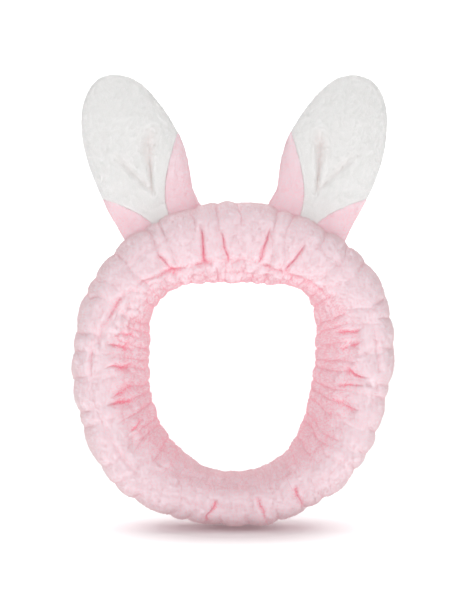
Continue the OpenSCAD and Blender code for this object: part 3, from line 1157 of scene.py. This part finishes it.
@dataclass
class StuffedEar:
    """One ear: a white front panel and a pink back panel over stuffing, pleated down the front.

    Attributes:
        side: Which ear it is.
        outer_half: Distance from the middle line to the outer edge.
        bulge: How much further the inner edge stands out.
        bulge_at: Where along the ear the bulge is full.
        root_r: Half of the thickness at the fold.
        plump: Extra half thickness in the middle.
        tilt: Degrees by which the ear leans in from the loop's radius.
        bow: How far the middle bows outwards.
        bluntness: How blunt the tip is.
        rows: Rows of points along a panel.
        columns: Points across a panel.
        tail: How far the sewn root reaches down into the loop's pile.
        trim: How far the plain skin lies inside the top of its pile.
        droop: How much deeper the root reaches at its two edges than in its middle.
        flare: How late the white panel widens from its root; 1 is evenly.
        white_root: How much of the width the white panel takes at its root.
        white_start: The station at which it starts to widen.
        white_full: The stations at which it reaches the outer and the inner edge.
    """

    side: Side
    outer_half: float = 26 * MM
    bulge: float = 8.5 * MM
    bulge_at: float = 0.42
    root_r: float = 8 * MM
    plump: float = 3.5 * MM
    tilt: float = 5.0
    bow: float = 3 * MM
    bluntness: float = 3.2
    rows: int = 160
    columns: int = 130
    tail: float = 11 * MM
    trim: float = 1.0 * MM
    droop: float = 0.55
    flare: float = 1.5
    white_root: float = 0.2
    white_start: float = -0.13
    white_full: tuple[float, float] = (0.22, 0.42)
    length: float = field(init=False)
    hinge: np.ndarray = field(init=False)
    out: np.ndarray = field(init=False)
    up: np.ndarray = field(init=False)

    def __post_init__(self) -> None:
        """Takes the ear's place from its joint and its length from the frame."""
        joint = next(j for j in frame["joints"] if j["child"] == f"{self.side.word}_ear")
        self.hinge = np.array(joint["pos_m"], float)
        self.out = np.array(joint["axis"], float) * self.side.value
        self.out /= np.linalg.norm(self.out)
        self.up = np.array([-self.out[2], 0, self.out[0]]) * self.side.value
        low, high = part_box(f"{self.side.word}_ear_front")
        self.length = self.tip_reach(np.array([high.x if self.side is Side.LEFT else low.x, high.z]))

    def tip_reach(self, corner: np.ndarray) -> float:
        """The ear's length, from how high its front panel stands.

        Args:
            corner: The panel's outermost x and highest z.

        Returns:
            The distance from the fold line to the tip, along the ear.
        """
        lean = math.atan2(abs(self.up[0]), self.up[2]) - math.radians(self.tilt)
        return (corner[1] - self.hinge[2]) / math.cos(lean) - 1.2 * MM

    def cap(self, station: np.ndarray) -> np.ndarray:
        """How much of the width is left at each station; it closes at the tip."""
        return np.sqrt(np.maximum(0, 1 - np.clip(station, 0, 1) ** self.bluntness))

    def seam(self, station: np.ndarray, full: float) -> np.ndarray:
        """Angle from the edge to the seam, for an edge that the white panel reaches at full."""
        share = np.clip((station - self.white_start) / (full - self.white_start), 0, 1)
        taken = self.white_root + (1 - self.white_root) * share ** self.flare
        return np.where(station >= full, 0, np.arccos(np.minimum(1, taken)))

    def seams(self, station: np.ndarray) -> tuple[np.ndarray, np.ndarray]:
        """Angles round the ear of its outer and its inner seam."""
        outer, inner = (self.seam(station, full) for full in self.white_full)
        return outer, np.pi - inner

    def stations(self, rows: int, top: float) -> np.ndarray:
        """Stations of so many rows of points, from the foot of the root to the top."""
        low = -self.tail / self.length
        return low + (top - low) * np.sin(np.pi / 2 * np.linspace(0, 1, rows)) ** 0.9

    def skin(self, station: np.ndarray, around: np.ndarray, inset: float) -> np.ndarray:
        """Points of the ear's surface in its own axes: outwards, towards the back, and up.

        Args:
            station: 0 at the fold line, 1 at the tip, and below 0 down the sewn root.
            around: 0 at the outer edge and a quarter turn at the middle of the front.
            inset: How far inside the surface.

        Returns:
            Rows of the three distances.
        """
        tilt = math.radians(self.tilt)
        body = np.maximum(station, 0)
        long = (self.length - inset) * body
        bow = 4 * self.bow * body * (1 - body)
        middle_out = bow * math.cos(tilt) - long * math.sin(tilt)
        deeper = 1 + self.droop * np.cos(around) ** 2
        root = np.minimum(station, 0) * self.length * deeper
        middle_up = long * math.cos(tilt) + bow * math.sin(tilt) + root
        bulge = self.bulge * np.sin(np.pi / 2 * np.clip(body / self.bulge_at, 0, 1))
        half = self.outer_half + np.where(np.cos(around) < 0, bulge, 0) - inset
        across = half * np.cos(around) * self.cap(station)
        turn = tilt * body
        thick = (self.root_r + self.plump * np.sin(np.pi * body ** 0.8) - inset) * self.cap(station)
        depth = -thick * np.sin(around)
        return np.stack([middle_out + across * np.cos(turn), depth, middle_up + across * np.sin(turn)],
                        axis=-1)

    def pleats(self, local: np.ndarray, station: np.ndarray) -> tuple[np.ndarray, np.ndarray]:
        """How deep the pleats press into the front, and how much painted shade each point gets in the
        pleats.

        Args:
            local: Points in the ear's own axes.
            station: Their stations along the ear.

        Returns:
            The depth in metres and the fold from 0 to 1.
        """
        middle = self.skin(station, np.full_like(station, np.pi / 2), 0)[..., 0]
        across = local[..., 0] - middle
        pit_line = -(0.4 + 32 * np.clip(station, 0, 1)) * MM
        pit_width = (1.5 + 2.6 * smoothstep(0.2, 0.45, station)) * MM
        pit_run = smoothstep(0.03, 0.2, station) * smoothstep(0.56, 0.42, station)
        pit = np.exp(-np.abs((across - pit_line) / pit_width) ** 1.8) * pit_run
        fold_line = (-7.2 + 31.7 * np.clip(station, 0, 1)) * MM
        fold_run = smoothstep(0.06, 0.16, station) * smoothstep(0.5, 0.34, station)
        fold = np.exp(-np.abs((across - fold_line) / (2.2 * MM)) ** 1.7) * fold_run
        dish = np.exp(-((across + 3 * MM) / (13 * MM)) ** 2) \
            * smoothstep(0.02, 0.3, station) * smoothstep(0.75, 0.4, station)
        depth = 2.5 * MM * pit + 1.3 * MM * fold + 1.4 * MM * dish
        # Painted shade down the pit and the pleat's fold.
        return depth, np.clip(0.95 * pit + 0.45 * fold, 0, 1)

    def in_frame(self, local: np.ndarray) -> np.ndarray:
        """Turns points from the ear's own axes into the frame's."""
        return self.hinge + local[..., :1] * self.out + local[..., 1:2] * np.array([0, 1, 0]) \
            + local[..., 2:3] * self.up

    def panel(self, name: str, front: bool) -> bpy.types.Object:
        """Makes one fleece panel as a closed skin with the thickness of its pile.

        Args:
            name: The new piece's name.
            front: True for the white front, False for the pink back.

        Returns:
            The piece.
        """
        station = self.stations(self.rows, 0.9995)
        outer_seam, inner_seam = self.seams(station)
        begin, end = (outer_seam, inner_seam) if front else (inner_seam, 2 * np.pi + outer_seam)
        share = np.linspace(0, 1, self.columns)
        stations = np.repeat(station[:, None], self.columns, axis=1)
        around = begin[:, None] + (end - begin)[:, None] * share[None, :]
        grids, folds = [], []
        for inset in (self.trim, self.trim + 1.4 * MM):
            local = self.skin(stations, around, inset)
            pressed, fold = self.pleats(local, stations)
            facing = smoothstep(0.0, 0.35, np.sin(around))
            local[..., 1] += pressed * facing - (0.5 * MM if front else 0)
            grids.append(self.in_frame(local))
            # Painted shade that deepens the pink back panel towards the ear's root.
            root = 0.0 if front else 0.3 * smoothstep(0.28, 0.0, stations)
            folds.append(fold * facing + root)
        return self.close(name, grids, folds, front)

    def close(self, name: str, grids: list[np.ndarray], folds: list[np.ndarray],
              front: bool) -> bpy.types.Object:
        """Joins an outer and an inner grid into one closed panel, and tufts its outside.

        Args:
            name: The new piece's name.
            grids: The outer and the inner points, each rows by columns.
            folds: The painted fold shade at those points.
            front: True for the white front.

        Returns:
            The piece.
        """
        rows, columns = self.rows, self.columns
        outer, inner = grids
        i, j = np.meshgrid(np.arange(rows - 1), np.arange(columns - 1), indexing="ij")
        start = (i * columns + j).ravel()
        quad = np.stack([start, start + 1, start + columns + 1, start + columns], axis=1)
        under = quad[:, ::-1] + rows * columns
        rim = np.concatenate([np.arange(columns), columns * np.arange(2, rows + 1) - 1,
                              rows * columns - 2 - np.arange(columns - 1),
                              columns * np.arange(rows - 2, 0, -1)])
        after = np.roll(rim, -1)
        wall = np.stack([after, rim, rim + rows * columns, after + rows * columns], axis=1)
        points = np.concatenate([outer.reshape(-1, 3), inner.reshape(-1, 3)])
        piece = mesh_piece(name, points, np.concatenate([quad, under, wall]))
        turn_outwards(piece)
        fold = np.concatenate([f.ravel() for f in folds])
        outside = np.arange(len(points)) < rows * columns
        lumps = 0.5 * MM * wandering(points, 16 * MM, 51) + 0.15 * MM * tufts(points, 5 * MM, 52)
        fine = (0.10 * tufts(points, 2.3 * MM, 61) + 0.05 * tufts(points, 1.3 * MM, 62)) * MM
        lift = np.where(outside, lumps + fine, 0)
        edge = np.minimum(np.arange(columns), np.arange(columns)[::-1]) / 6
        lift = lift * np.tile(np.clip(edge, 0.25, 1), 2 * rows)
        move_points(piece, points + normals_of(piece) * lift[:, None])
        store(piece, "fold", fold)
        smooth(piece)
        return piece

    def stuffing(self) -> bpy.types.Object:
        """Makes the stuffing, one closed form inside both panels."""
        rows, columns, inset = 60, 96, self.trim + 3.2 * MM
        station = self.stations(rows, 0.998)
        stations = np.repeat(station[:, None], columns, axis=1)
        around = np.tile(np.linspace(0, 2 * np.pi, columns, endpoint=False), (rows, 1))
        local = self.skin(stations, around, inset)
        pressed, _ = self.pleats(local, stations)
        local[..., 1] += pressed * smoothstep(0.0, 0.35, np.sin(around))
        points = np.concatenate([self.in_frame(local).reshape(-1, 3),
                                 self.in_frame(local[[0, -1]].mean(axis=1))])
        i, j = np.meshgrid(np.arange(rows - 1), np.arange(columns), indexing="ij")
        this, over = (i * columns + j).ravel(), (i * columns + (j + 1) % columns).ravel()
        sides = np.stack([this, over, over + columns, this + columns], axis=1)
        piece = mesh_piece(f"{self.side.word}_ear_stuffing", points, sides)
        turn_outwards(piece, closing=True)
        store(piece, "fold", np.zeros(len(piece.data.vertices)))
        smooth(piece)
        dress(piece, Finish.STUFFING)
        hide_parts(f"{self.side.word}_ear_filling")
        self.settle(piece)
        return piece

    def seam_line(self, inset: float) -> np.ndarray:
        """The seam between the panels, up one edge, over the tip and down the other."""
        station = np.linspace(-0.02, 1, 160)
        outer, inner = (self.skin(station, seam, inset) for seam in self.seams(station))
        return self.in_frame(np.concatenate([outer, inner[::-1]]))

    def sewn(self, name: str, node: str, line: np.ndarray, pitch: float,
             finish: Finish) -> bpy.types.Object:
        """Sews a row of stitches along a line.

        Args:
            name: The new piece's name.
            node: The frame's node that it stands for.
            line: Points along the line.
            pitch: Distance between stitches.
            finish: The thread.

        Returns:
            The piece.
        """
        steps = np.linalg.norm(np.diff(line, axis=0), axis=1)
        run = np.concatenate([[0], np.cumsum(steps)])
        at = np.arange(pitch / 2, run[-1], pitch)
        centres = np.stack([np.interp(at, run, line[:, axis]) for axis in range(3)], axis=1)
        ahead = np.stack([np.interp(at + MM, run, line[:, axis]) for axis in range(3)], axis=1)
        ways = ahead - centres + 1e-7
        piece = Stitching(0.6 * MM, 2.2 * MM).sew(name, centres, ways)
        dress(piece, finish)
        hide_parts(node)
        return piece

    def stitches(self) -> list[bpy.types.Object]:
        """Sews the edge seam, the tack at the foot of the pleats and the seam round the root."""
        word = self.side.word
        edge = self.sewn(f"{word}_edge_stitches", f"{word}_edge_seam",
                         self.seam_line(self.trim + 0.9 * MM), 3.2 * MM, Finish.PINK_THREAD)
        self.settle(edge)
        station = np.full(12, 0.075)
        around = np.pi / 2 + np.linspace(-0.05, 0.17, 12)
        local = self.skin(station, around, self.trim)
        pressed, _ = self.pleats(local, station)
        local[..., 1] += pressed - 0.1 * MM
        tack = self.sewn(f"{word}_tack_stitches", f"{word}_pleat_tack", self.in_frame(local),
                         2.4 * MM, Finish.WHITE_THREAD)
        self.settle(tack)
        across = np.linspace(-0.92, 0.92, 60) * self.outer_half
        rows = []
        for depth in (-self.root_r - 1.5 * MM, self.root_r + 1.5 * MM):
            drop = across ** 2 / (2 * 97 * MM) + self.root_r + 2.4 * MM
            rows.append(self.in_frame(np.stack([across, np.full_like(across, depth), -drop], axis=1)))
        root = self.sewn(f"{word}_root_stitches", f"{word}_base_stitches",
                         np.concatenate([rows[0], rows[1][::-1]]), 4.5 * MM, Finish.PINK_THREAD)
        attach(root, "band")
        return [edge, tack, root]

    def settle(self, piece: bpy.types.Object) -> None:
        """Bakes a piece's transform into its mesh."""
        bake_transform(piece)

    def build(self) -> list[bpy.types.Object]:
        """Makes the ear's two panels."""
        word = self.side.word
        made = []
        for front, finish in ((True, Finish.WHITE_FLEECE), (False, Finish.PINK_FLEECE)):
            part = "front" if front else "back"
            piece = self.panel(f"{word}_ear_{part}_fleece", front)
            dress(piece, finish)
            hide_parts(f"{word}_ear_{part}")
            self.settle(piece)
            made.append(piece)
        return made


# ---- The studio -----------------------------------------------------------------------------------


@dataclass
class Studio:
    """A white floor with a painted shadow under the headband, a white backdrop, soft lights and the
    camera.

    Attributes:
        distance: From the camera to the headband.
        elevation: Degrees by which the camera looks down.
        sees: Height of what the camera sees at the headband.
        aim: The point in the middle of the view.
    """

    distance: float = 1.25
    elevation: float = 2.0
    sees: float = 0.360
    aim: tuple[float, float, float] = (0.0009, 0.0, 0.0452)

    def surface(self, name: str, near: float, far: float) -> bpy.types.Material:
        """A matt white stage surface that glows, less near its middle, which paints a darker patch there
        as a painted shadow.
        """
        graph = Graph(name)
        away = graph.node("ShaderNodeVectorMath", {"operation": "LENGTH"}, {0: graph.place()}, "Value")
        # Painted shadow: the glow rises from near to far away from the middle.
        glow = graph.blend((away * 20 - 0.9).held(), (near,) * 3, (far,) * 3)
        return graph.shade(Base_Color=(0.92, 0.92, 0.92), Roughness=1.0,
                           Emission_Color=glow, Emission_Strength=1.0)

    def sheet(self, name: str, place: Vector, turn: tuple, near: float,
              far: float) -> bpy.types.Object:
        """Lays one stage sheet and returns it."""
        bpy.ops.mesh.primitive_plane_add(size=12.0, location=place, rotation=turn)
        plane = bpy.context.active_object
        plane.name = name
        plane.data.materials.append(self.surface(name, near, far))
        return plane

    def light(self, name: str, place: tuple, size: float, power: float) -> None:
        """Hangs one square soft light that points at the headband."""
        data = bpy.data.lights.new(name, "AREA")
        data.shape, data.size, data.energy = "SQUARE", size, power
        lamp = bpy.data.objects.new(name, data)
        lamp.location = place
        lamp.rotation_euler = (Vector(self.aim) - Vector(place)).to_track_quat("-Z", "Y").to_euler()
        bpy.context.scene.collection.objects.link(lamp)

    def build(self) -> None:
        """Sets up the stage, the lights and the camera."""
        low = Vector(cad_box[0])
        # The floor glows little under the headband, a painted contact shadow, and more further out.
        self.sheet("floor", Vector((0, 0, low.z - 1.0 * MM)), (0, 0, 0), 0.04, 0.45)
        quarter = math.pi / 2
        self.sheet("backdrop", Vector((0, 5.0, 0)), (quarter, 0, 0), 1.0, 1.0)
        for word, place, turn in (("left", (5.0, 0, 0), quarter), ("right", (-5.0, 0, 0), quarter),
                                  ("front", (0, -5.0, 0), 0)):
            wall = self.sheet(f"{word}_backdrop", Vector(place), (quarter, 0, turn), 1.0, 1.0)
            wall.visible_diffuse = wall.visible_glossy = wall.visible_shadow = False
        world = bpy.data.worlds.new("soft_white")
        world.use_nodes = True
        world.node_tree.nodes["Background"].inputs["Color"].default_value = (1, 1, 1, 1)
        world.node_tree.nodes["Background"].inputs["Strength"].default_value = 0.52
        bpy.context.scene.world = world
        bpy.context.scene.view_settings.view_transform = "Standard"
        self.light("top", (0.0, 0.05, 1.3), 0.9, 4.2)
        self.light("key", (-0.6, -1.2, 0.7), 0.9, 2.8)
        self.light("fill", (0.8, -1.2, 0.2), 1.1, 2.7)
        data = bpy.data.cameras.new("camera")
        data.sensor_fit, data.sensor_height = "VERTICAL", 24.0
        data.lens = data.sensor_height * self.distance / self.sees
        camera = bpy.data.objects.new("camera", data)
        slope = math.radians(self.elevation)
        camera.location = Vector(self.aim) + self.distance * Vector((0, -math.cos(slope), math.sin(slope)))
        camera.rotation_euler = (math.pi / 2 - slope, 0, 0)
        bpy.context.scene.collection.objects.link(camera)
        bpy.context.scene.camera = camera


def report(piece: bpy.types.Object) -> None:
    """Logs a piece's name and size."""
    LOG.info("%s: %d faces", piece.name, len(piece.data.polygons))


def main() -> None:
    """Builds every sub-assembly in order and reports each piece."""
    logging.basicConfig(level=logging.INFO, format="%(name)s: %(message)s")
    Studio().build()
    loop = GatheredLoop()
    cover = loop.build()
    report(cover)
    for piece in Elastic(loop).build() + LoopStitches(cover, loop).build():
        report(piece)
    pile = []
    for patch in range(4):
        fibres = Pile(seed=100 + patch).grow(f"loop_pile_{patch + 1}", cover, 46000)
        dress(fibres, Finish.PINK_PILE)
        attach(fibres, "band")
        pile.append(fibres)
        report(fibres)
    for side in Side:
        ear = StuffedEar(side)
        for number, panel in enumerate(ear.build()):
            report(panel)
            finish = Finish.PINK_PILE if number else Finish.WHITE_PILE
            outside = (np.arange(len(panel.data.vertices)) < ear.rows * ear.columns).astype(float)
            fibres = Pile(0.8 * MM, lean=0.12, seed=200 + number).grow(
                f"{panel.name}_pile", panel, 24000, outside)
            dress(fibres, finish)
            ear.settle(fibres)
            report(fibres)
        report(ear.stuffing())
        for piece in ear.stitches():
            report(piece)


if __name__ == "__main__":
    main()
